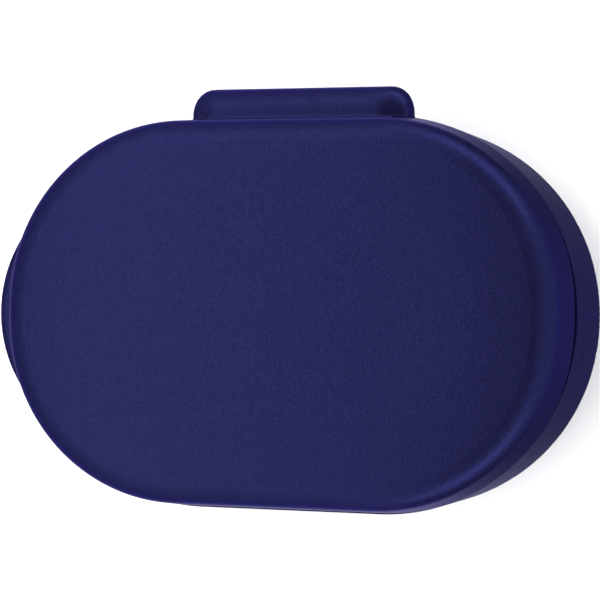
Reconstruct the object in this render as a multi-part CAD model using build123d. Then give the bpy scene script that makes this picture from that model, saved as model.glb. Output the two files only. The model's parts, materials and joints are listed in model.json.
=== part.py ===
from build123d import *
from math import atan2, cos, degrees, pi, radians, sin, sqrt, tan
import os

# An earbuds charging case in a two-part silicone sleeve, closed.
# Origin: centre of the flat bottom face. +X along the case, +Y towards the hinge, +Z up.
# All sizes are in millimetres.

# Outer form
half_length = 31.7
base_half_depth = 21.7
base_corner_radius = 21.3
base_end_radius = 23.3
lid_half_depth = 21.5
lid_corner_radius = 20.5
lid_end_radius = 30.6
seam_z = 20.5
seam_gap = 0.7
shell_gap = 0.2
lid_top_z = 28.7
base_bottom_radius = 7.0
lid_top_radius = 2.9
lid_draft = 0.88
base_rim_edge = 0.25
lid_rim_edge = 0.45
crown_slopes = (5.0, 4.0, 3.0, 2.0, 1.0)
crown_widths = (3.2, 1.7, 1.7, 1.7, 1.7)

# Wall thicknesses, from the outside in
sleeve = 1.3
wall = 1.3
shell_inset = sleeve
inside_inset = sleeve + wall
fit_gap = 0.05
past = 1.0
base_rim_z = seam_z - seam_gap / 2
lid_rim_z = seam_z + seam_gap / 2
base_shell_rim_z = seam_z - shell_gap / 2
lid_shell_rim_z = seam_z + shell_gap / 2
base_back_y = base_half_depth - inside_inset
shell_back_y = base_half_depth - shell_inset
bracket_screw_tip_y = shell_back_y - 0.4

# Hinge
hinge_y = 22.6
hinge_z = 17.5
knuckle_radius = 1.25
knuckle_bore_radius = 0.66
pin_radius = 0.6
pin_half_length = 10.6
bracket_knuckle_x = (7.0, 10.2)
bracket_half_width = 10.6
bracket_z = (14.4, 16.6)
arm_knuckle_x = (3.5, 6.8)
arm_z = (21.3, 24.9)
plate_thickness = 0.8
finger_z = (hinge_z - 0.4, hinge_z + 0.4)
spring_half_length = 3.2
spring_wire = 0.4
spring_radius = 0.98
spring_turns = 11
hinge_window_half = 11.0
hinge_window_z = 16.4
strap_radius = 2.6
strap_wall = 0.9
strap_half_length = 12.9
strap_corner = 1.9
strap_lip_y = lid_half_depth - 1.0
strap_lip_low_z = hinge_z + 1.6

# Small screws of the hinge
bracket_screw = (8.6, 15.5)
arm_screw = (4.2, 23.3)
arm_screw_grip = 1.2
screw_head_radius = 0.95
screw_head_height = 0.6
screw_shank_radius = 0.45
screw_pilot_radius = 0.5
screw_clear_radius = 0.55
screw_slot_width = 0.24

# Lanyard lug and small features of the base sleeve
lug_radius = 15.6
lug_reach_x = -37.6
lug_top_z = 16.1
lug_thickness = 4.0
lug_edge = 0.95
lanyard_hole_x = -34.2
lanyard_hole_radius = 1.5
dimple_pitch = 2.28
dimple_radius = 0.5
dimple_depth = 0.12
dimple_z = 14.2

# Charging socket, below the hinge
port_z = 10.9
port_width = 8.94
port_height = 3.2
port_length = 7.35
port_wall = 0.32
port_floor = 1.0
port_cut_width = 12.4
port_cut_height = 5.4
tongue_half_width = 3.3
tongue_thickness = 0.7

# Tray and earbud wells
deck_top_z = 20.1
deck_thickness = 1.3
ledge_size = 0.9
well_x = 15.2
well_width = 17.0
well_depth_y = 21.0
well_corner = 7.0
well_floor_z = 10.2
cup_wall = 1.0
well_mouth_chamfer = 0.5
lid_well_top_z = 25.1
liner_floor_z = 20.95
liner_thickness = 1.2
liner_wall = 0.8
liner_gap = 0.3
tray_notch_y = 17.1

# Boards and battery
board_bottom_z = 12.5
board_thickness = 1.0
board_top_z = board_bottom_z + board_thickness
board_half_width = 5.3
board_front_y = -15.5
board_back_y = 18.9
board_corner = 0.8
board_screw_x = 3.4
board_screw_y = -3.0
boss_radius = 1.6
board_screw_radius = 0.7
board_screw_head = 1.35
board_screw_length = 4.5
board_screw_cover = 0.8
contact_board_z = 6.3
contact_board_thickness = 0.6
contact_board_half = (4.4, 4.6)
contact_pitch = 5.0
post_x = 3.2
post_radius = 0.9
peg_radius = 0.45
battery_size = (19.4, 30.0, 4.4)
battery_bottom_z = 2.9
battery_edge = 1.5
tape_half = (7.0, 12.0)
lead_radius = 0.4
lead_x = 0.8
lead_bend = 0.9
plug_size = (4.4, 3.0, 2.0)
plug_back = 1.6

# Sprung charging pins
pin_travel = 0.8
barrel_radius = 0.8
barrel_bore = 0.6
barrel_mouth = 0.46
barrel_lip = 0.25
barrel_floor = 0.3
barrel_top_z = 10.4
plunger_radius = 0.4
plunger_shoulder = 0.55
shoulder_height = 0.6
shoulder_top_z = barrel_top_z - barrel_lip - 0.02
plunger_top_z = barrel_top_z + pin_travel + 0.2
contact_wire = 0.12
contact_spring_turns = 5

# Status light
lamp_z = 14.0
lamp_size = (1.6, 0.8, 0.9)
pipe_radius = 1.0
pipe_flange = 0.6

# Magnets
magnet_y = -15.8
magnet_radius = 2.0
magnet_height = 1.5
sensor_magnet_y = -11.5
sensor_magnet_radius = 1.5
sensor_magnet_height = 1.0
pocket_floor_z = liner_floor_z + 0.4
bud_magnet_y = 7.6
bud_magnet_height = 1.2


def oval(depth, corner, end, inset=0.0):
    """Closed face: two straight sides, four corner arcs and two end arcs, all tangent, moved in by inset."""
    a, b = half_length - inset, depth - inset
    r, e = corner - inset, end - inset
    corner_y = b - r
    end_x = a - e
    corner_x = end_x + sqrt((e - r) ** 2 - corner_y**2)
    turn = atan2(corner_y, corner_x - end_x)
    join = (end_x + e * cos(turn), e * sin(turn))
    half_turn = (turn + pi / 2) / 2
    middle = (corner_x + r * cos(half_turn), corner_y + r * sin(half_turn))
    edges = []
    for way in (1, -1):
        side_start, side_end = (-way * corner_x, -way * b), (way * corner_x, -way * b)
        low_middle, low_join = (way * middle[0], -way * middle[1]), (way * join[0], -way * join[1])
        high_middle, high_join = (way * middle[0], way * middle[1]), (way * join[0], way * join[1])
        edges.append(Line(side_start, side_end))
        edges.append(ThreePointArc(side_end, low_middle, low_join))
        edges.append(ThreePointArc(low_join, (way * a, 0), high_join))
        edges.append(ThreePointArc(high_join, high_middle, (way * corner_x, way * b)))
    return make_face(edges)


def base_oval(inset=0.0):
    """Plan of the base, moved in by inset."""
    return oval(base_half_depth, base_corner_radius, base_end_radius, inset)


def lid_oval(inset=0.0):
    """Plan of the lid at its rim, moved in by inset."""
    return oval(lid_half_depth, lid_corner_radius, lid_end_radius, inset)


def base_form(inset, top_z):
    """Solid tub shape of the base with a rounded bottom edge, moved in by inset."""
    body = Pos(0, 0, inset) * extrude(base_oval(inset), top_z - inset)
    return fillet(body.faces().sort_by(Axis.Z)[0].edges(), base_bottom_radius - inset)


def lid_form(inset, rim_z):
    """Solid shape of the lid with slightly leaning sides and a rounded top edge, moved in by inset."""
    lean = degrees(atan2(lid_draft, lid_top_z - seam_z))
    top_z = lid_top_z - inset
    body = Pos(0, 0, rim_z) * extrude(lid_oval(inset), top_z - rim_z, taper=lean)
    return fillet(body.faces().sort_by(Axis.Z)[-1].edges(), lid_top_radius - inset)


def crowned_lid(rim_z):
    """Outer shape of the lid's sleeve: the lid's sides under a top that swells gently towards its middle."""
    lean = atan2(lid_draft, lid_top_z - seam_z)
    body = Pos(0, 0, rim_z) * extrude(lid_oval(), lid_top_z - rim_z, taper=degrees(lean))
    inset = (lid_top_z - rim_z) * tan(lean)
    ring = Pos(0, 0, lid_top_z) * lid_oval(inset)
    top_z = lid_top_z
    for slope, width in zip(crown_slopes, crown_widths):
        inset += width
        top_z += width * tan(radians(slope))
        next_ring = Pos(0, 0, top_z) * lid_oval(inset)
        body += loft([ring, next_ring], ruled=True)
        ring = next_ring
    corner = body.edges().filter_by_position(Axis.Z, lid_top_z - fit_gap, lid_top_z + fit_gap)
    return fillet(corner, lid_top_radius)


def box(x, y, z):
    """Box between two values along each axis."""
    centre = ((x[0] + x[1]) / 2, (y[0] + y[1]) / 2, (z[0] + z[1]) / 2)
    return Pos(*centre) * Box(x[1] - x[0], y[1] - y[0], z[1] - z[0])


def upright(x, y, z, radius):
    """Cylinder along Z between two heights."""
    return Pos(x, y, (z[0] + z[1]) / 2) * Cylinder(radius, z[1] - z[0])


def along_x(x, y, z, radius):
    """Cylinder along X between two ends."""
    return Pos((x[0] + x[1]) / 2, y, z) * Rot(0, 90, 0) * Cylinder(radius, x[1] - x[0])


def along_y(x, y, z, radius):
    """Cylinder along Y between two ends."""
    return Pos(x, (y[0] + y[1]) / 2, z) * Rot(90, 0, 0) * Cylinder(radius, y[1] - y[0])


def slot_along_y(width, height, y, z):
    """Rounded bar along Y with a stadium section, for the charging socket and its cut-outs."""
    section = Plane.XZ * RectangleRounded(width, height, height / 2 - 0.01)
    return Pos(0, y[1], z) * extrude(section, y[1] - y[0])


def both_ends(x_range):
    """The same stretch along X on the right and on the left."""
    return [(x_range[0], x_range[1]), (-x_range[1], -x_range[0])]


def hinge_window(inner_y, outer_y):
    """Space cut out of a back wall for the hinge."""
    return box((-hinge_window_half, hinge_window_half), (inner_y, outer_y), (hinge_window_z, seam_z + past))


def well(floor_z, top_z, grow=0.0):
    """Rounded pocket of one earbud well, centred on the origin in plan."""
    face = RectangleRounded(well_width + 2 * grow, well_depth_y + 2 * grow, well_corner + grow)
    return Pos(0, 0, floor_z) * extrude(face, top_z - floor_z)


def base_cover():
    """Silicone sleeve of the base: rounded tub with lanyard lug, hinge window, port and lamp openings."""
    outer = base_form(0, base_rim_z)
    outer = fillet(outer.faces().sort_by(Axis.Z)[-1].edges(), base_rim_edge)
    lug_low_z = lug_top_z - lug_thickness
    lug = upright(lug_reach_x + lug_radius, 0, (lug_low_z, lug_top_z), lug_radius)
    outer += fillet(lug.edges(), lug_edge)
    tub = outer - base_form(sleeve, seam_z + past)
    back_wall = (shell_back_y - past, base_half_depth + past)
    tub -= hinge_window(*back_wall)
    tub -= slot_along_y(port_cut_width, port_cut_height, back_wall, port_z)
    front_wall = (-base_half_depth - past, -base_half_depth + inside_inset)
    tub -= along_y(0, front_wall, lamp_z, pipe_radius + fit_gap)
    tub -= upright(lanyard_hole_x, 0, (lug_low_z - past, lug_top_z + past), lanyard_hole_radius)
    ball_radius = (dimple_radius**2 + dimple_depth**2) / (2 * dimple_depth)
    reach = base_end_radius - dimple_depth + ball_radius
    for step in range(-2, 3):
        turn = step * dimple_pitch / base_end_radius
        ball = (half_length - base_end_radius + reach * cos(turn), reach * sin(turn), dimple_z)
        tub -= Pos(*ball) * Sphere(ball_radius)
    return tub


def hinge_strap():
    """Closed silicone bulge over the hinge, with a lip under the lid sleeve's back rim."""

    def bulge(radius, half, corner):
        section = along_x((-half, half), hinge_y, hinge_z, radius)
        section += box((-half, half), (base_back_y, hinge_y), (hinge_z - radius, hinge_z + radius))
        plan_depth = 2 * (hinge_y + radius)
        plan = RectangleRounded(2 * half, plan_depth, corner)
        return section & (Pos(0, 0, hinge_z - 2 * radius) * extrude(plan, 4 * radius))

    outer = bulge(strap_radius, strap_half_length, strap_corner)
    inner = bulge(strap_radius - strap_wall, strap_half_length - strap_wall, strap_corner - strap_wall)
    strap = outer - inner
    strap -= base_form(0, base_rim_z)
    strap -= box((-half_length, half_length), (0, lid_half_depth), (0, lid_top_z))
    lip_half = strap_half_length - strap_corner
    lip_x = (-lip_half, lip_half)
    lip = box(lip_x, (strap_lip_y, lid_half_depth), (strap_lip_low_z, lid_rim_z))
    foot_y = lid_half_depth + strap_wall / 2
    bridge = box(lip_x, (strap_lip_y, foot_y), (strap_lip_low_z, hinge_z + strap_radius))
    return strap + lip + bridge


def base_shell():
    """Moulded tub of the case, with a ledge for the tray and openings for hinge, socket and light."""
    tub = base_form(shell_inset, base_shell_rim_z) - base_form(inside_inset, seam_z + past)
    ledge_top = deck_top_z - deck_thickness
    ledge_slab = Pos(0, 0, ledge_top - ledge_size) * extrude(base_oval(inside_inset), ledge_size)
    hole_depth = ledge_size + 2 * past
    ledge_hole = extrude(base_oval(inside_inset + ledge_size), hole_depth)
    tub += ledge_slab - Pos(0, 0, ledge_top - ledge_size - past) * ledge_hole
    tub -= hinge_window(base_back_y - 2 * past, base_half_depth)
    screw_x, screw_z = bracket_screw
    for side in (-1, 1):
        pilot_y = (base_back_y - past, bracket_screw_tip_y + fit_gap)
        tub -= along_y(side * screw_x, pilot_y, screw_z, screw_pilot_radius)
    tub -= slot_along_y(port_width, port_height, (base_back_y - past, base_half_depth), port_z)
    tub -= along_y(0, (-base_half_depth, -base_back_y + past), lamp_z, pipe_radius + fit_gap)
    return tub


def earbud_tray():
    """Deck with two earbud wells, board bosses and posts that hold the contact boards."""
    deck_low = deck_top_z - deck_thickness
    tray = Pos(0, 0, deck_low) * extrude(base_oval(inside_inset + fit_gap), deck_thickness)
    for side in (-1, 1):
        tray += Pos(side * well_x, 0, 0) * well(well_floor_z - cup_wall, deck_low, cup_wall)
    for side in (-1, 1):
        tray -= Pos(side * well_x, 0, 0) * well(well_floor_z, deck_top_z + 1)
    top_edges = tray.edges().filter_by_position(Axis.Z, deck_top_z, deck_top_z)
    tray = chamfer([edge for edge in top_edges if of_well_mouth(edge)], well_mouth_chamfer)
    notch_x = (-hinge_window_half, hinge_window_half)
    tray -= box(notch_x, (tray_notch_y, base_half_depth), (deck_low - past, deck_top_z + past))
    for x in (-board_screw_x, board_screw_x):
        tray += upright(x, board_screw_y, (board_bottom_z + board_thickness, deck_low), boss_radius)
        bore_z = (board_bottom_z, deck_low - board_screw_cover)
        tray -= upright(x, board_screw_y, bore_z, board_screw_radius + fit_gap / 2)
    cup_low_z = well_floor_z - cup_wall
    contact_top_z = contact_board_z + contact_board_thickness
    for side in (-1, 1):
        for y in (-contact_pitch / 2, contact_pitch / 2):
            hole_z = (cup_low_z - past, well_floor_z + past)
            tray -= upright(side * well_x, y, hole_z, barrel_radius + fit_gap)
        for x in (side * well_x - post_x, side * well_x + post_x):
            tray += upright(x, 0, (contact_top_z, cup_low_z + fit_gap), post_radius)
            tray += upright(x, 0, (contact_board_z - 0.3, contact_top_z + 0.3), peg_radius)
    return tray


def of_well_mouth(edge):
    """True for an edge of a well mouth, false for the deck's own outline."""
    size = edge.bounding_box()
    mouth_x = well_x + well_width / 2 + fit_gap
    mouth_y = well_depth_y / 2 + fit_gap
    return max(abs(size.min.X), abs(size.max.X)) < mouth_x and abs(size.max.Y) < mouth_y


def battery_cell():
    """Flat pouch cell with rounded long edges and a folded front seal."""
    length, depth, height = battery_size
    cell_back_y = depth / 2 - 1.0
    top_z = battery_bottom_z + height
    cell = box((-length / 2, length / 2), (-depth / 2, cell_back_y), (battery_bottom_z, top_z))
    cell = fillet(cell.edges().filter_by(Axis.Y), battery_edge)
    seal_z = battery_bottom_z + height / 2
    seal_half = length / 2 - battery_edge
    return cell + box((-seal_half, seal_half), (cell_back_y, depth / 2), (seal_z - 0.3, seal_z + 0.3))


def battery_tape():
    """Double-sided foam tape between the cell and the floor of the tub."""
    half_x, half_y = tape_half
    return box((-half_x, half_x), (-half_y, half_y), (inside_inset, battery_bottom_z))


def battery_leads():
    """Two insulated leads that run from the cell's front face up to the plug."""
    leads = []
    start_z = battery_bottom_z + battery_size[2] / 2
    end_z = board_bottom_z - plug_size[2] / 2
    cell_y = -battery_size[1] / 2
    rise_y = cell_y - 2.0
    for x in (-lead_x, lead_x):
        low_corners = [(x, cell_y, start_z), (x, rise_y, start_z)]
        high_corners = [(x, rise_y, end_z), (x, cell_y + plug_back, end_z)]
        path = FilletPolyline(*low_corners, *high_corners, radius=lead_bend)
        leads.append(sweep(Plane(origin=path @ 0, z_dir=path % 0) * Circle(lead_radius), path=path))
    return Compound(children=leads)


def battery_connector():
    """Small plug of the leads, on the underside of the main board."""
    width, depth, height = plug_size
    front_y = -battery_size[1] / 2 + plug_back
    z = (board_bottom_z - height, board_bottom_z)
    return box((-width / 2, width / 2), (front_y, front_y + depth), z)


def main_board():
    """Main circuit board, between the two wells and under the deck."""
    board_x = (-board_half_width, board_half_width)
    board = box(board_x, (board_front_y, board_back_y), (board_bottom_z, board_top_z))
    board = fillet(board.edges().filter_by(Axis.Z), board_corner)
    hole_z = (board_bottom_z - past, board_top_z + past)
    for x in (-board_screw_x, board_screw_x):
        board -= upright(x, board_screw_y, hole_z, board_screw_radius + 0.2)
    return board


def board_screws():
    """Two small screws that hold the board to the tray's bosses."""
    screws = []
    y = board_screw_y
    for x in (-board_screw_x, board_screw_x):
        head = upright(x, y, (board_bottom_z - 0.8, board_bottom_z), board_screw_head)
        slot = box((x - 1.0, x + 1.0), (y - 0.15, y + 0.15), (board_bottom_z - 1.0, board_bottom_z - 0.5))
        shank_z = (board_bottom_z, board_bottom_z + board_screw_length)
        screws.append(head - slot + upright(x, y, shank_z, board_screw_radius))
    return Compound(children=screws)


def chip(x, y, z, width, depth, height, legs):
    """Chip package with a row of legs down two sides, standing on z."""
    body = box((x - width / 2, x + width / 2), (y - depth / 2, y + depth / 2), (z + 0.1, z + height))
    body = chamfer(body.faces().sort_by(Axis.Z)[-1].edges(), 0.1)
    pitch = depth / (legs + 1)
    for step in range(1, legs + 1):
        leg_y = y - depth / 2 + step * pitch
        body += box((x - width / 2 - 0.4, x + width / 2 + 0.4), (leg_y - 0.15, leg_y + 0.15), (z, z + 0.25))
    return body


def control_chip():
    """Controller chip on the board's top side."""
    return chip(0, 3.6, board_top_z, 4.0, 4.0, 0.9, 5)


def charge_chip():
    """Charger chip on the board's top side."""
    return chip(0, 9.4, board_top_z, 3.0, 3.0, 0.9, 4)


def power_coil():
    """Wound inductor of the boost converter, with its winding as a waist."""
    y = 14.2
    flange, height = 0.4, 1.8
    coil = upright(0, y, (board_top_z, board_top_z + height), 1.5)
    for low in (board_top_z, board_top_z + height - flange):
        coil += upright(0, y, (low, low + flange), 1.9)
    return coil


def small_parts():
    """Chip capacitors and resistors in two rows beside the chips."""
    width, depth, height, pitch = 0.8, 1.4, 0.6, 2.4
    piece = Pos(0, 0, board_top_z + height / 2) * Box(width, depth, height)
    places = GridLocations(8.4, pitch, 2, 5)
    return Compound(children=[Pos(0, 6.6, 0) * place * piece for place in places])


def hall_sensor():
    """Three-legged sensor that notices the lid's magnet."""
    y = sensor_magnet_y
    body = box((-1.5, 1.5), (y - 0.8, y + 0.8), (board_top_z + 0.1, board_top_z + 1.1))
    for x in (-0.95, 0, 0.95):
        body += box((x - 0.2, x + 0.2), (y - 1.3, y + 1.3), (board_top_z, board_top_z + 0.2))
    return body


def port_shell():
    """Drawn metal shell of the charging socket, open at the back of the case."""
    front_y = shell_back_y - port_length
    shell = slot_along_y(port_width, port_height, (front_y, shell_back_y), port_z)
    hollow_size = (port_width - 2 * port_wall, port_height - 2 * port_wall)
    return shell - slot_along_y(*hollow_size, (front_y + port_floor, shell_back_y + past), port_z)


def port_tongue():
    """Thin contact tongue in the middle of the socket."""
    y = (shell_back_y - port_length + port_floor, shell_back_y - 0.9)
    z = (port_z - tongue_thickness / 2, port_z + tongue_thickness / 2)
    tongue = box((-tongue_half_width, tongue_half_width), y, z)
    return fillet(tongue.edges().filter_by(Axis.Z).sort_by(Axis.Y)[-2:], 0.6)


def status_lamp():
    """Side-facing LED at the board's front edge."""
    width, depth, height = lamp_size
    z = (board_top_z, board_top_z + height)
    return box((-width / 2, width / 2), (board_front_y, board_front_y + depth), z)


def light_pipe():
    """Clear pipe from the LED to the front face, with a flange inside the tub."""
    pipe = along_y(0, (-base_half_depth + fit_gap, board_front_y - 0.2), lamp_z, pipe_radius)
    return pipe + along_y(0, (-base_back_y, -base_back_y + 0.7), lamp_z, pipe_radius + pipe_flange)


def contact_board(side):
    """Small board under one well that carries the charging pins."""
    middle_x = side * well_x
    half_x, half_y = contact_board_half
    top_z = contact_board_z + contact_board_thickness
    board = box((middle_x - half_x, middle_x + half_x), (-half_y, half_y), (contact_board_z, top_z))
    board = fillet(board.edges().filter_by(Axis.Z), board_corner)
    for x in (middle_x - post_x, middle_x + post_x):
        board -= upright(x, 0, (contact_board_z - past, top_z + past), peg_radius + fit_gap)
    return board


def contact_barrels(side):
    """Two fixed barrels of the sprung charging pins in one well's floor."""
    barrels = []
    low = contact_board_z + contact_board_thickness
    for y in (-contact_pitch / 2, contact_pitch / 2):
        barrel = upright(side * well_x, y, (low, barrel_top_z), barrel_radius)
        barrel -= upright(side * well_x, y, (low + barrel_floor, barrel_top_z - barrel_lip), barrel_bore)
        barrel -= upright(side * well_x, y, (low + past, barrel_top_z + past), barrel_mouth)
        barrels.append(barrel)
    return Compound(children=barrels)


def contact_pin(side, y):
    """One sprung charging pin: a wide shoulder kept in the barrel and a domed tip."""
    x = side * well_x
    shoulder_low_z = shoulder_top_z - shoulder_height
    tip = upright(x, y, (shoulder_low_z, plunger_top_z), plunger_radius)
    tip = fillet(tip.faces().sort_by(Axis.Z)[-1].edges(), 0.3)
    return tip + upright(x, y, (shoulder_low_z, shoulder_top_z), plunger_shoulder)


def contact_spring(side, y):
    """Compression spring under one charging pin."""
    end_gap = 0.02
    low = contact_board_z + contact_board_thickness + barrel_floor + end_gap
    height = shoulder_top_z - shoulder_height - end_gap - contact_wire - low
    path = Helix(pitch=height / contact_spring_turns, height=height, radius=barrel_bore - contact_wire)
    coil = sweep(Plane(origin=path @ 0, z_dir=path % 0) * Circle(contact_wire / 2), path=path)
    return Pos(side * well_x, y, low + contact_wire / 2) * coil


def bud_magnets(side):
    """Two disc magnets under one well's floor that pull the earbud down."""
    top = well_floor_z - cup_wall
    discs = []
    for y in (-bud_magnet_y, bud_magnet_y):
        discs.append(upright(side * well_x, y, (top - bud_magnet_height, top), magnet_radius))
    return Compound(children=discs)


def base_magnet():
    """Closing magnet under the front of the deck."""
    top = deck_top_z - deck_thickness
    return upright(0, magnet_y, (top - magnet_height, top), magnet_radius)


def knuckle(x_range):
    """One hinge knuckle with its bore."""
    low, high = x_range
    bored = along_x(x_range, hinge_y, hinge_z, knuckle_radius)
    return bored - along_x((low - past, high + past), hinge_y, hinge_z, knuckle_bore_radius)


def hinge_bracket():
    """Steel plate on the inside of the back wall, with two fixed knuckles behind the wall."""
    front_y = base_back_y - plate_thickness
    plate = box((-bracket_half_width, bracket_half_width), (front_y, base_back_y), bracket_z)
    for ends in both_ends(bracket_knuckle_x):
        plate += box(ends, (front_y, base_back_y), (bracket_z[0], finger_z[1]))
        plate = with_finger(plate, ends, front_y)
    screw_x, screw_z = bracket_screw
    for x in (-screw_x, screw_x):
        plate -= along_y(x, (front_y - past, base_back_y + past), screw_z, screw_clear_radius)
    return plate


def with_finger(plate, ends, front_y):
    """A plate with one more finger, from its front face back to a knuckle of its own."""
    plate += box(ends, (front_y, hinge_y), finger_z)
    plate -= along_x((ends[0] - fit_gap, ends[1] + fit_gap), hinge_y, hinge_z, knuckle_radius)
    return plate + knuckle(ends)


def screw_along_y(x, z, head_y, tip_y):
    """Flat-headed screw along +Y: slotted head in front, shank behind."""
    front_y = head_y - screw_head_height
    head = along_y(x, (front_y, head_y), z, screw_head_radius)
    slot_y = (front_y - past, front_y + screw_head_height / 2)
    slot = box((x - 0.7, x + 0.7), slot_y, (z - screw_slot_width / 2, z + screw_slot_width / 2))
    return head - slot + along_y(x, (head_y, tip_y), z, screw_shank_radius)


def hinge_screws():
    """Two screws that hold the bracket to the base shell."""
    x, z = bracket_screw
    front_y = base_back_y - plate_thickness
    screws = [screw_along_y(side * x, z, front_y, bracket_screw_tip_y) for side in (-1, 1)]
    return Compound(children=screws)


def hinge_pin():
    """Steel pin through all the knuckles, rounded at its ends."""
    pin = along_x((-pin_half_length, pin_half_length), hinge_y, hinge_z, pin_radius)
    return chamfer(pin.edges().filter_by(GeomType.CIRCLE), 0.15)


def hinge_spring():
    """Torsion spring round the pin, between the two knuckles of the lid's arm."""
    length = 2 * spring_half_length - spring_wire
    path = Helix(pitch=length / spring_turns, height=length, radius=spring_radius)
    coil = sweep(Plane(origin=path @ 0, z_dir=path % 0) * Circle(spring_wire / 2), path=path)
    return Pos(-length / 2, hinge_y, hinge_z) * Rot(0, 90, 0) * coil


def arm_plate_y():
    """Front and back of the lid arm's plate, clear of the lid's leaning wall."""
    back_y = lid_half_depth - inside_inset - 0.6
    return (back_y - plate_thickness, back_y)


def hinge_arm():
    """Plate inside the lid's back wall, with two fingers that reach back to the moving knuckles."""
    front_y, back_y = arm_plate_y()
    arm = box((-arm_knuckle_x[1], arm_knuckle_x[1]), (front_y, back_y), arm_z)
    for ends in both_ends(arm_knuckle_x):
        arm += box(ends, (front_y, back_y), (finger_z[0], arm_z[0]))
        arm = with_finger(arm, ends, front_y)
    screw_x, screw_z = arm_screw
    for x in (-screw_x, screw_x):
        arm -= along_y(x, (front_y - past, back_y + past), screw_z, screw_clear_radius)
    return arm


def arm_screws():
    """Two screws that hold the arm to the lid shell."""
    x, z = arm_screw
    front_y, back_y = arm_plate_y()
    screws = [screw_along_y(side * x, z, front_y, back_y + arm_screw_grip) for side in (-1, 1)]
    return Compound(children=screws)


def lid_cover():
    """Silicone sleeve of the lid, with a swollen top and a softened rim."""
    outer = crowned_lid(lid_rim_z)
    outer = fillet(outer.faces().sort_by(Axis.Z)[0].edges(), lid_rim_edge)
    return outer - lid_form(sleeve, lid_rim_z)


def lid_shell():
    """Moulded lid with a land inside its back wall for the hinge arm."""
    hollow = lid_form(inside_inset, lid_shell_rim_z)
    shell = lid_form(shell_inset, lid_shell_rim_z) - hollow
    front_y, back_y = arm_plate_y()
    land_z = (arm_z[0] + liner_gap, arm_z[1])
    land = box((-arm_knuckle_x[1], arm_knuckle_x[1]), (back_y, lid_half_depth), land_z)
    shell += land & hollow
    screw_x, screw_z = arm_screw
    for x in (-screw_x, screw_x):
        pilot_y = (back_y - past, back_y + arm_screw_grip + fit_gap)
        shell -= along_y(x, pilot_y, screw_z, screw_pilot_radius)
    return shell


def lid_liner():
    """Inner moulding of the lid: a rim plate with a hollow over each earbud and two magnet pockets."""
    plate = Pos(0, 0, liner_floor_z) * extrude(lid_oval(inside_inset + liner_gap), liner_thickness)
    for side in (-1, 1):
        plate += Pos(side * well_x, 0, 0) * well(liner_floor_z, lid_well_top_z + liner_wall, liner_wall)
    for side in (-1, 1):
        plate -= Pos(side * well_x, 0, 0) * well(liner_floor_z - past, lid_well_top_z)
    notch_half = arm_knuckle_x[1] + 0.4
    notch_y = (arm_plate_y()[0] - 1.1, lid_half_depth)
    plate -= box((-notch_half, notch_half), notch_y, (liner_floor_z - past, lid_top_z))
    closing = (magnet_y, magnet_radius, magnet_height)
    sensing = (sensor_magnet_y, sensor_magnet_radius, sensor_magnet_height)
    for y, radius, height in (closing, sensing):
        plate += upright(0, y, (liner_floor_z, pocket_floor_z + height), radius + 0.6)
        plate -= upright(0, y, (pocket_floor_z, pocket_floor_z + height + past), radius + fit_gap)
    return plate


def lid_magnet():
    """Closing magnet in the front of the lid."""
    return upright(0, magnet_y, (pocket_floor_z, pocket_floor_z + magnet_height), magnet_radius)


def sensor_magnet():
    """Small magnet in the lid, above the hall sensor."""
    z = (pocket_floor_z, pocket_floor_z + sensor_magnet_height)
    return upright(0, sensor_magnet_y, z, sensor_magnet_radius)


def write(name, shape):
    """Write one node as its own STEP file."""
    export_step(shape, f"parts/{name}.step")


def build_all():
    """Build each sub-part once and write it."""
    single = [
        base_cover, hinge_strap, base_shell, earbud_tray, battery_cell, battery_tape, battery_leads,
        battery_connector, main_board, board_screws, control_chip, charge_chip, power_coil, small_parts,
        hall_sensor, port_shell, port_tongue, status_lamp, light_pipe, base_magnet, hinge_bracket,
        hinge_screws, hinge_pin, hinge_spring, hinge_arm, arm_screws, lid_cover, lid_shell, lid_liner,
        lid_magnet, sensor_magnet,
    ]
    for maker in single:
        write(maker.__name__, maker())
    for side_name, side in (("left", -1), ("right", 1)):
        write(f"{side_name}_contact_board", contact_board(side))
        write(f"{side_name}_contact_barrels", contact_barrels(side))
        write(f"{side_name}_bud_magnets", bud_magnets(side))
        for row_name, y in (("front", -contact_pitch / 2), ("back", contact_pitch / 2)):
            write(f"{side_name}_{row_name}_contact_pin", contact_pin(side, y))
            write(f"{side_name}_{row_name}_contact_spring", contact_spring(side, y))


os.makedirs("parts", exist_ok=True)
build_all()
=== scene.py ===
import json
import math

import bmesh
import bpy
from mathutils import Matrix, Vector

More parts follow.
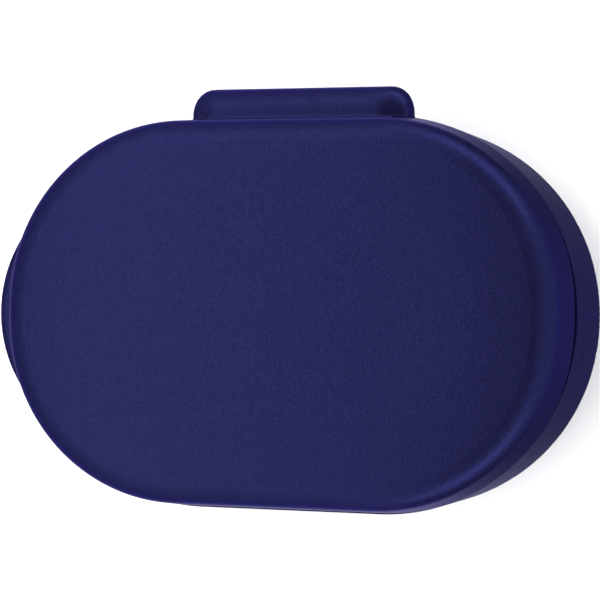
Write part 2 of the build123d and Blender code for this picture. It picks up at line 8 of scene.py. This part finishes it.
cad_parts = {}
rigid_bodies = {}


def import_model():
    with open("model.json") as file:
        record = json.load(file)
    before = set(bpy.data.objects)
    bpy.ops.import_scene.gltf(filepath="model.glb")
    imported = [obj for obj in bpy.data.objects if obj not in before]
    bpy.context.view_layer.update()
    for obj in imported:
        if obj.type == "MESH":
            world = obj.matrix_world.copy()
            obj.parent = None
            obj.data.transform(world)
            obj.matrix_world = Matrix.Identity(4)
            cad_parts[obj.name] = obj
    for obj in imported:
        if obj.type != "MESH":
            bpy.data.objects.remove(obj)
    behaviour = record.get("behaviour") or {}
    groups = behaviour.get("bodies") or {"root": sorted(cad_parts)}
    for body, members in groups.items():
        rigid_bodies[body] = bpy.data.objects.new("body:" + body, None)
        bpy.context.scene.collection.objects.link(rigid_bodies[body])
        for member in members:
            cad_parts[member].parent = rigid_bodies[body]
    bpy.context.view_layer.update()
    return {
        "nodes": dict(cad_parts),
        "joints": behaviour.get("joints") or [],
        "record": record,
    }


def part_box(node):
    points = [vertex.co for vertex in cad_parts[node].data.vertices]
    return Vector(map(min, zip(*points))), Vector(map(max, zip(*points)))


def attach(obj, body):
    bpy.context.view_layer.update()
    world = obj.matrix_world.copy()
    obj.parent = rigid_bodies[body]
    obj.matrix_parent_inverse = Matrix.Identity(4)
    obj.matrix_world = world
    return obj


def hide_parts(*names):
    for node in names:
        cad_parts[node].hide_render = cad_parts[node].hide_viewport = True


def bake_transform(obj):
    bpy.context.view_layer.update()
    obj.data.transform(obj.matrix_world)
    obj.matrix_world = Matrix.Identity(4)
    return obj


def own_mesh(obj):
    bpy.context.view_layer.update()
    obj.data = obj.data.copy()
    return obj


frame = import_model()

MM = 0.001
NODES = frame["nodes"]
RECORD = frame["record"]

# The parts that the looks are built around, from the frame
lid_low, lid_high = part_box("lid_cover")
base_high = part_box("base_cover")[1]
strap_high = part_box("hinge_strap")[1]
hinge = next(j for j in frame["joints"] if j["name"] == "lid_hinge")
hinge_y, hinge_z = hinge["pos_m"][1], hinge["pos_m"][2]
seam_z = (lid_low.z + base_high.z) / 2

# Camera: distance in metres and the turns that take the row frame to the view
camera_distance = 0.240
view_turn_y = -0.311
view_turn_x = -0.0135
view_turn_z = -0.016
view_shift = Vector((-0.957 * MM, -1.495 * MM))
sensor_width = 36.0
pixels_per_metre = 9082.0
frame_pixels = 600


def camera():
    """The camera of the reference view, looking at the middle of the seam plane."""
    turn = Matrix.Rotation(view_turn_z, 3, "Z") @ Matrix.Rotation(view_turn_x, 3, "X")
    turn = turn @ Matrix.Rotation(view_turn_y, 3, "Y")
    data = bpy.data.cameras.new("camera")
    data.sensor_width = sensor_width
    data.lens = sensor_width * pixels_per_metre * camera_distance / frame_pixels
    data.clip_start = 0.01
    place = turn.transposed() @ Vector((-view_shift.x, -view_shift.y, camera_distance))
    place.z += seam_z
    obj = bpy.data.objects.new("camera", data)
    obj.matrix_world = Matrix.Translation(place) @ turn.transposed().to_4x4()
    bpy.context.scene.collection.objects.link(obj)
    bpy.context.scene.camera = obj


def set_stops(node, stops):
    """Fills a colour ramp with stops: each is a place from 0 to 1 and its colour."""
    elements = node.color_ramp.elements
    while len(elements) < len(stops):
        elements.new(0.5)
    for element, (at, colour) in zip(elements, stops):
        element.position = at
        element.color = (*colour, 1.0)


class Material:
    """A small helper that adds nodes to one material and wires them up."""

    def __init__(self, name, **surface):
        self.material = bpy.data.materials.new(name)
        self.material.use_nodes = True
        self.tree = self.material.node_tree
        self.surface = self.tree.nodes["Principled BSDF"]
        for socket, value in surface.items():
            self.surface.inputs[socket.replace("_", " ")].default_value = value
        self.place = self.add("ShaderNodeTexCoord").outputs["Object"]

    def add(self, kind, settings=None, **inputs):
        """Adds a node, sets its own settings and then its sockets, which are values or links."""
        node = self.tree.nodes.new(kind)
        for key, value in (settings or {}).items():
            setattr(node, key, value)
        for socket, value in inputs.items():
            self.set(node.inputs[socket.replace("_", " ")], value)
        return node

    def set(self, socket, value):
        """Links a socket to another node's output, or gives it a constant."""
        if isinstance(value, bpy.types.NodeSocket):
            self.tree.links.new(value, socket)
        else:
            socket.default_value = value

    def stretched(self, x, y, z):
        """Object coordinates scaled along each axis."""
        node = self.add("ShaderNodeMapping", Vector=self.place, Scale=(x, y, z))
        return node.outputs["Vector"]

    def noise(self, scale, detail=3.0, rough=0.55, vector=None):
        """Noise value; scale is in features per metre."""
        node = self.add("ShaderNodeTexNoise", Scale=scale, Detail=detail, Roughness=rough)
        self.set(node.inputs["Vector"], vector or self.place)
        return node.outputs["Fac"]

    def cells(self, scale):
        """Distance to the middle of small round cells; scale is in cells per metre."""
        node = self.add("ShaderNodeTexVoronoi", Scale=scale, Vector=self.place)
        return node.outputs["Distance"]

    def ramp(self, value, *stops):
        """Turns a value into a colour: each stop is a place from 0 to 1 and its colour."""
        node = self.add("ShaderNodeValToRGB", Fac=value)
        set_stops(node, stops)
        return node.outputs["Color"]

    def spread(self, value, low, high):
        """Maps a value from 0 to 1 onto low to high."""
        node = self.add("ShaderNodeMapRange", Value=value, To_Min=low, To_Max=high)
        return node.outputs["Result"]

    def colour(self, value, dark, light, low=0.3, high=0.7):
        """Base colour that goes from dark to light as the value goes from low to high."""
        self.set(self.surface.inputs["Base Color"], self.ramp(value, (low, dark), (high, light)))

    def roughness(self, value, low, high):
        """Roughness that follows a value."""
        self.set(self.surface.inputs["Roughness"], self.spread(value, low, high))

    def bump(self, *layers):
        """Adds bumps on top of each other: (height value, distance in metres, strength)."""
        normal = None
        for height, distance, strength in layers:
            node = self.add("ShaderNodeBump", Height=height, Distance=distance, Strength=strength)
            if normal is not None:
                self.set(node.inputs["Normal"], normal)
            normal = node.outputs["Normal"]
        self.set(self.surface.inputs["Normal"], normal)
        return self.material


# Painted shade along the seam where the sleeve's two rims meet, standing in for the shadow in the gap: how
# far it reaches from the seam, and what multiplies the colour
seam_shade_reach = 1.0 * MM
seam_shade_off = (1.0, 1.0, 1.0)
seam_shade_dark = (0.25, 0.25, 0.30)


def silicone(name, painted_seam_shade):
    """Satin navy silicone with a very fine moulded grain, and painted shade in a band along the rims at the
    seam if asked.
    """
    look = Material(name, Metallic=0.75, Specular_IOR_Level=0.0)
    look.surface.inputs["Specular Tint"].default_value = (0.50, 0.48, 0.86, 1.0)
    look.colour(look.noise(3200.0, 3.0, 0.7), (0.0081, 0.0084, 0.0395), (0.0122, 0.0126, 0.0550))
    # painted shade: the base colour is darkened in a band around the seam's height, standing in for the
    # shadow in the gap between lid and base
    if painted_seam_shade:
        low, high = seam_z - seam_shade_reach, seam_z + seam_shade_reach
        height = look.add("ShaderNodeSeparateXYZ", Vector=look.place).outputs["Z"]
        near = look.add("ShaderNodeMapRange", Value=height, From_Min=low, From_Max=high).outputs["Result"]
        shade = look.ramp(near, (0.10, seam_shade_off), (0.26, seam_shade_dark), (0.74, seam_shade_dark), (0.90, seam_shade_off))
        shaded = look.add("ShaderNodeVectorMath", {"operation": "MULTIPLY"})
        base_colour = look.surface.inputs["Base Color"]
        look.set(shaded.inputs[0], base_colour.links[0].from_socket)
        look.set(shaded.inputs[1], shade)
        look.set(base_colour, shaded.outputs["Vector"])
    look.roughness(look.noise(420.0, 3.0), 0.38, 0.44)
    return look.bump((look.noise(3600.0, 3.0, 0.7), 0.00003, 0.8), (look.cells(3000.0), 0.00002, 0.5))


def moulded_black(name, tone, rough):
    """Black moulded plastic with a spark-eroded texture."""
    look = Material(name, Specular_IOR_Level=0.45)
    look.colour(look.noise(90.0, 3.0), tone, tuple(1.5 * c for c in tone))
    look.roughness(look.noise(900.0, 4.0), rough, rough + 0.16)
    return look.bump((look.noise(3600.0, 2.0), 0.00003, 0.35), (look.cells(2400.0), 0.00002, 0.25))


def brushed_steel(name, tone, rough):
    """Stamped steel with fine drawing lines along X."""
    look = Material(name, Metallic=1.0)
    lines = look.noise(900.0, 4.0, 0.6, look.stretched(0.06, 1.0, 1.0))
    look.colour(lines, tuple(0.82 * c for c in tone), tone)
    look.roughness(lines, rough, rough + 0.18)
    return look.bump((lines, 0.00001, 0.4))


def plated(name, dark, light, rough):
    """Plated metal with faint handling marks."""
    look = Material(name, Metallic=1.0)
    look.colour(look.noise(700.0, 4.0), dark, light)
    look.roughness(look.noise(1500.0, 3.0), rough, rough + 0.14)
    return look.bump((look.noise(2600.0, 3.0), 0.000006, 0.3))


def circuit_board():
    """Green solder mask over copper tracks."""
    look = Material("board_green", Specular_IOR_Level=0.6, Coat_Weight=0.35, Coat_Roughness=0.2)
    tracks = look.add("ShaderNodeTexBrick", {"offset": 0.5}, Vector=look.place, Scale=420.0)
    tracks.inputs["Mortar Size"].default_value = 0.08
    tracks.inputs["Mortar Smooth"].default_value = 0.2
    look.colour(tracks.outputs["Fac"], (0.004, 0.062, 0.030), (0.012, 0.150, 0.062), 0.2, 0.8)
    look.roughness(look.noise(600.0, 2.0), 0.24, 0.40)
    return look.bump((tracks.outputs["Fac"], 0.00003, 0.5))


def chip_plastic():
    """Moulded epoxy of chips."""
    look = Material("chip_black", Specular_IOR_Level=0.4)
    look.colour(look.noise(500.0, 2.0), (0.010, 0.010, 0.011), (0.020, 0.020, 0.022))
    look.roughness(look.noise(1600.0, 2.0), 0.48, 0.66)
    return look.bump((look.noise(7000.0, 2.0), 0.00001, 0.5))


def ceramic():
    """Fired ceramic of small parts, tinned at their ends."""
    look = Material("ceramic", Specular_IOR_Level=0.5)
    look.colour(look.noise(1300.0, 2.0), (0.23, 0.14, 0.075), (0.36, 0.24, 0.13))
    look.roughness(look.noise(2000.0, 2.0), 0.38, 0.55)
    return look.bump((look.noise(5000.0, 2.0), 0.00001, 0.4))


def ferrite():
    """Dark sintered ferrite."""
    look = Material("coil_ferrite", Specular_IOR_Level=0.4)
    look.colour(look.noise(1500.0, 4.0), (0.016, 0.016, 0.018), (0.034, 0.034, 0.038))
    look.roughness(look.noise(2500.0, 3.0), 0.5, 0.7)
    return look.bump((look.noise(6000.0, 3.0), 0.00002, 0.5))


def cell_foil():
    """Laminated aluminium foil of the pouch, with soft creases."""
    look = Material("cell_foil", Metallic=0.85)
    crease = look.noise(260.0, 5.0, 0.65)
    look.colour(crease, (0.42, 0.43, 0.45), (0.62, 0.63, 0.65))
    look.roughness(crease, 0.28, 0.44)
    return look.bump((crease, 0.00008, 0.4))


def foam():
    """Open foam of the double-sided tape."""
    look = Material("foam_tape", Specular_IOR_Level=0.2)
    pores = look.cells(2600.0)
    look.colour(pores, (0.50, 0.50, 0.46), (0.78, 0.78, 0.73), 0.1, 0.6)
    look.roughness(pores, 0.75, 0.92)
    return look.bump((pores, 0.00005, 0.6))


def lead_insulation():
    """Insulation of the battery leads: red on the right, black on the left."""
    look = Material("lead_insulation", Specular_IOR_Level=0.5)
    side = look.add("ShaderNodeSeparateXYZ", Vector=look.place).outputs["X"]
    which = look.add("ShaderNodeMapRange", Value=side, From_Min=-0.0001, From_Max=0.0001).outputs["Result"]
    look.colour(which, (0.012, 0.012, 0.013), (0.42, 0.018, 0.014), 0.45, 0.55)
    look.roughness(look.noise(1800.0, 2.0), 0.34, 0.48)
    return look.bump((look.noise(3000.0, 2.0), 0.00001, 0.3))


def pale_nylon():
    """Off-white nylon of the battery plug."""
    look = Material("plug_nylon", Specular_IOR_Level=0.45)
    look.colour(look.noise(700.0, 2.0), (0.62, 0.58, 0.48), (0.76, 0.72, 0.62))
    look.roughness(look.noise(1800.0, 2.0), 0.42, 0.56)
    return look.bump((look.noise(4000.0, 2.0), 0.00001, 0.4))


def clear_resin(name, tone, clear, rough):
    """Clear moulded plastic with faint flow lines."""
    look = Material(name, Transmission_Weight=clear, IOR=1.49)
    flow = look.noise(600.0, 3.0)
    look.colour(flow, tuple(0.9 * c for c in tone), tone)
    look.roughness(flow, rough, rough + 0.12)
    return look.bump((flow, 0.00001, 0.3))


def pale_floor():
    """Seamless pale paper."""
    look = Material("studio_paper", Specular_IOR_Level=0.1)
    look.colour(look.noise(30.0, 3.0), (0.94, 0.94, 0.945), (0.97, 0.97, 0.975))
    look.roughness(look.noise(200.0, 2.0), 0.85, 0.95)
    return look.bump((look.noise(1500.0, 3.0), 0.00002, 0.1))


def materials_by_slot():
    """One detailed material for each slot of the record."""
    return {
        # the sleeves carry painted shade along the seam
        "sleeve_silicone": silicone("sleeve_silicone", painted_seam_shade=True),
        "shell_plastic": moulded_black("shell_plastic", (0.013, 0.013, 0.015), 0.36),
        "tray_plastic": moulded_black("tray_plastic", (0.011, 0.011, 0.012), 0.42),
        "liner_plastic": moulded_black("liner_plastic", (0.012, 0.012, 0.013), 0.30),
        "hinge_steel": brushed_steel("hinge_steel", (0.60, 0.60, 0.62), 0.26),
        "spring_steel": brushed_steel("spring_steel", (0.46, 0.46, 0.49), 0.30),
        "screw_steel": brushed_steel("screw_steel", (0.20, 0.20, 0.22), 0.34),
        "magnet_nickel": plated("magnet_nickel", (0.58, 0.57, 0.55), (0.70, 0.69, 0.67), 0.16),
        "contact_gold": plated("contact_gold", (0.72, 0.50, 0.18), (0.86, 0.64, 0.27), 0.18),
        "board_green": circuit_board(),
        "chip_black": chip_plastic(),
        "ceramic": ceramic(),
        "coil_ferrite": ferrite(),
        "cell_foil": cell_foil(),
        "foam_tape": foam(),
        "lead_insulation": lead_insulation(),
        "plug_nylon": pale_nylon(),
        "lamp_resin": clear_resin("lamp_resin", (0.88, 0.84, 0.62), 0.4, 0.22),
        "pipe_clear": clear_resin("pipe_clear", (0.86, 0.88, 0.92), 0.75, 0.18),
    }


def dress_cad_nodes(materials):
    """Gives every carried-over node its material."""
    for part in RECORD["subparts"]:
        obj = NODES[part["node"]]
        obj.data.materials.clear()
        obj.data.materials.append(materials[part["material_slot"]])
        for polygon in obj.data.polygons:
            polygon.material_index = 0


def contact_springs():
    """Each charging pin's spring as its own mesh, held by the body that carries the pin's joint."""
    for joint in frame["joints"]:
        if joint["type"] != "slide":
            continue
        for spring in joint["deforming_nodes"]:
            node = spring["node"]
            coil = bpy.data.objects.new(f"{node}_coil", NODES[node].data.copy())
            bpy.context.scene.collection.objects.link(coil)
            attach(coil, joint["parent"])
            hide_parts(node)
            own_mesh(coil)


# Hinge strap: its half length and roundness from its CAD solid, and the shape of its ends, where
# corner and flare are (along x, along y)
strap_half = strap_high.x - 0.25 * MM
strap_round = strap_high.y - hinge_y
strap_wall = 0.5 * MM
strap_corner = (2.3 * MM, 2.4 * MM)
strap_flare = (0.8 * MM, 1.2 * MM)
strap_sink = 0.35 * MM
strap_slope_length = 3.8 * MM
strap_slope_ease = 1.8 * MM
strap_slope = math.tan(math.radians(17))
strap_tip = 0.6 * MM
strap_tip_drop = 0.9 * MM
strap_foot_rise = 0.8 * MM
strap_root_y = lid_high.y - 0.05 * MM
strap_root_fillet = 0.55 * MM

# Steps along the strap's outline and its length
fillet_steps = 6
straight_steps = 4
round_steps = 32
middle_steps = 6
slope_steps = 8
corner_steps = 16


def strap_section():
    """Outer line of the bulge in (y, z), from the lid's rim over the hinge and under it to the base."""
    points = [(strap_root_y, lid_low.z)]
    top = hinge_z + strap_round
    low = hinge_z - strap_round
    straight = hinge_y - strap_root_y - strap_root_fillet
    for step in range(fillet_steps + 1):
        turn = math.pi / 2 * step / fillet_steps
        y = strap_root_y + strap_root_fillet * (1 - math.cos(turn))
        points.append((y, top + strap_root_fillet * (1 - math.sin(turn))))
    for step in range(1, straight_steps):
        points.append((hinge_y - straight * (1 - step / straight_steps), top))
    for step in range(round_steps + 1):
        turn = math.pi / 2 - math.pi * step / round_steps
        points.append((hinge_y + strap_round * math.cos(turn), hinge_z + strap_round * math.sin(turn)))
    for step in range(1, straight_steps):
        points.append((hinge_y - straight * step / straight_steps, low))
    for step in range(fillet_steps + 1):
        turn = math.pi / 2 * step / fillet_steps
        y = strap_root_y + strap_root_fillet * (1 - math.sin(turn))
        points.append((y, low - strap_root_fillet * (1 - math.cos(turn))))
    return points


def strap_end_drop(x):
    """How far the bulge's top has come down at x: an eased slope, then a tight round at the tip."""
    into_slope = min(max(x - (strap_half - strap_slope_length), 0.0), strap_slope_length)
    if into_slope < strap_slope_ease:
        run = into_slope**2 / (2 * strap_slope_ease)
    else:
        run = into_slope - strap_slope_ease / 2
    into_tip = min(max(x - (strap_half - strap_tip), 0.0) / strap_tip, 1.0)
    return strap_slope * run + strap_tip_drop * (1 - math.sqrt(1 - into_tip**2))


def strap_stations():
    """Stations along the strap: (x, share of the full reach, how far the section is squeezed in z)."""
    reach = hinge_y + strap_round - strap_root_y
    straight = strap_half - strap_slope_length
    bend_x = strap_half - strap_corner[0]
    rows = [(straight * step / middle_steps, 1.0, 0.0) for step in range(middle_steps + 1)]
    for step in range(1, slope_steps + 1):
        x = straight + (bend_x - straight) * step / slope_steps
        rows.append((x, 1.0, strap_end_drop(x)))
    for step in range(1, corner_steps + 1):
        turn = math.pi / 2 * step / corner_steps
        x = bend_x + strap_corner[0] * math.sin(turn)
        rows.append((x, 1 - strap_corner[1] * (1 - math.cos(turn)) / reach, strap_end_drop(x)))
    for step in range(corner_steps + 1):
        turn = math.pi / 2 * step / corner_steps
        out = 1 - math.cos(turn)
        depth = strap_flare[1] * (1 - math.sin(turn)) - strap_sink * out
        squeeze = strap_end_drop(strap_half) - strap_foot_rise * out
        rows.append((strap_half + strap_flare[0] * out, depth / reach, squeeze))
    return [(-x, share, squeeze) for x, share, squeeze in reversed(rows[1:])] + rows


def hinge_strap(material):
    """The silicone strap over the hinge: one smooth skin with a thickness."""
    mesh = bmesh.new()
    section = strap_section()
    rows = []
    for x, share, squeeze in strap_stations():
        row = []
        narrow = 1 - squeeze / strap_round
        for y, z in section:
            place_y = strap_root_y + share * (y - strap_root_y)
            place_z = hinge_z + narrow * (z - hinge_z)
            row.append(mesh.verts.new((x, place_y, place_z)))
        rows.append(row)
    for left, right in zip(rows, rows[1:]):
        for step in range(len(section) - 1):
            mesh.faces.new((left[step], right[step], right[step + 1], left[step + 1]))
    bmesh.ops.recalc_face_normals(mesh, faces=mesh.faces)
    data = bpy.data.meshes.new("hinge_strap_skin")
    mesh.to_mesh(data)
    mesh.free()
    obj = bpy.data.objects.new("hinge_strap_skin", data)
    bpy.context.scene.collection.objects.link(obj)
    for polygon in data.polygons:
        polygon.use_smooth = True
    data.materials.append(material)
    thick = obj.modifiers.new("thickness", "SOLIDIFY")
    thick.thickness = strap_wall
    thick.offset = -1.0
    apply_modifiers(obj)
    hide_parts("hinge_strap")
    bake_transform(obj)


def apply_modifiers(obj):
    """Makes an object's modifiers part of its mesh."""
    bpy.context.view_layer.update()
    graph = bpy.context.evaluated_depsgraph_get()
    final = bpy.data.meshes.new_from_object(obj.evaluated_get(graph))
    obj.modifiers.clear()
    obj.data = final


# Sky: brightness from the left (0) over the middle (0.5) to the right (1)
sky_tones = ((0.0, 1.12), (0.40, 1.45), (0.51, 0.35), (0.57, 0.15), (0.68, 0.20), (0.80, 1.20), (1.0, 1.70))
sky_strength = 1.1

# Soft lights: place in metres, width and height in metres, and power in watts
light_aim = (0, 0, 0.02)
soft_lights = {
    "strip_left": ((-0.120, 0.0, 0.25), (0.44, 0.09), 0.42),
    "softbox_back": ((-0.12, 0.36, 0.30), (0.40, 0.25), 0.60),
    "softbox_front": ((-0.05, -0.36, 0.30), (0.45, 0.22), 0.35),
    "softbox_front_right": ((0.17, -0.38, 0.10), (0.42, 0.16), 1.30),
    "softbox_back_right": ((0.17, 0.38, 0.10), (0.42, 0.16), 1.30),
}


def area_light(name, place, aim, size, power):
    """A soft rectangular light that looks at a point."""
    data = bpy.data.lights.new(name, "AREA")
    data.shape = "RECTANGLE"
    data.size, data.size_y = size
    data.energy = power
    obj = bpy.data.objects.new(name, data)
    obj.location = place
    obj.rotation_euler = (Vector(aim) - Vector(place)).to_track_quat("-Z", "Y").to_euler()
    bpy.context.scene.collection.objects.link(obj)


def studio_sky():
    """A soft sky: pale on the left, a dark strip above on the right, and paler again far right."""
    world = bpy.data.worlds.new("studio_sky")
    bpy.context.scene.world = world
    world.use_nodes = True
    tree = world.node_tree
    place = tree.nodes.new("ShaderNodeTexCoord").outputs["Generated"]
    split = tree.nodes.new("ShaderNodeSeparateXYZ")
    across = tree.nodes.new("ShaderNodeMapRange")
    across.inputs["From Min"].default_value = -1.0
    ramp = tree.nodes.new("ShaderNodeValToRGB")
    set_stops(ramp, [(at, (tone, tone, tone)) for at, tone in sky_tones])
    tree.links.new(place, split.inputs["Vector"])
    tree.links.new(split.outputs["X"], across.inputs["Value"])
    tree.links.new(across.outputs["Result"], ramp.inputs["Fac"])
    tree.links.new(ramp.outputs["Color"], tree.nodes["Background"].inputs["Color"])
    tree.nodes["Background"].inputs["Strength"].default_value = sky_strength


# Studio floor: a flat disc that sweeps up into a low backdrop, in metres
floor_radius = 1.2
sweep_radius = 0.3
sweep_steps = 12
backdrop_height = 0.5
floor_sides = 96


def studio_floor():
    """A round pale floor whose edge sweeps up into a low backdrop."""
    profile = [(0.0, 0.0), (floor_radius, 0.0)]
    for step in range(1, sweep_steps + 1):
        turn = math.pi / 2 * step / sweep_steps
        reach = floor_radius + sweep_radius * math.sin(turn)
        profile.append((reach, sweep_radius * (1 - math.cos(turn))))
    profile.append((floor_radius + sweep_radius, backdrop_height))
    mesh = bmesh.new()
    points = [mesh.verts.new((reach, 0, height)) for reach, height in profile]
    lines = [mesh.edges.new(pair) for pair in zip(points, points[1:])]
    bmesh.ops.spin(
        mesh, geom=points + lines, axis=(0, 0, 1), cent=(0, 0, 0), angle=math.tau, steps=floor_sides
    )
    bmesh.ops.remove_doubles(mesh, verts=mesh.verts, dist=MM)
    data = bpy.data.meshes.new("studio_floor")
    mesh.to_mesh(data)
    mesh.free()
    for polygon in data.polygons:
        polygon.use_smooth = True
    data.materials.append(pale_floor())
    floor = bpy.data.objects.new("studio_floor", data)
    bpy.context.scene.collection.objects.link(floor)
    floor.visible_glossy = False


def studio():
    """Pale floor with a backdrop, soft sky and soft lights."""
    studio_floor()
    studio_sky()
    for name, (place, size, power) in soft_lights.items():
        area_light(name, place, light_aim, size, power)
    bpy.context.scene.view_settings.view_transform = "Standard"


materials = materials_by_slot()
camera()
studio()
dress_cad_nodes(materials)
contact_springs()
hinge_strap(silicone("strap_silicone", painted_seam_shade=False))
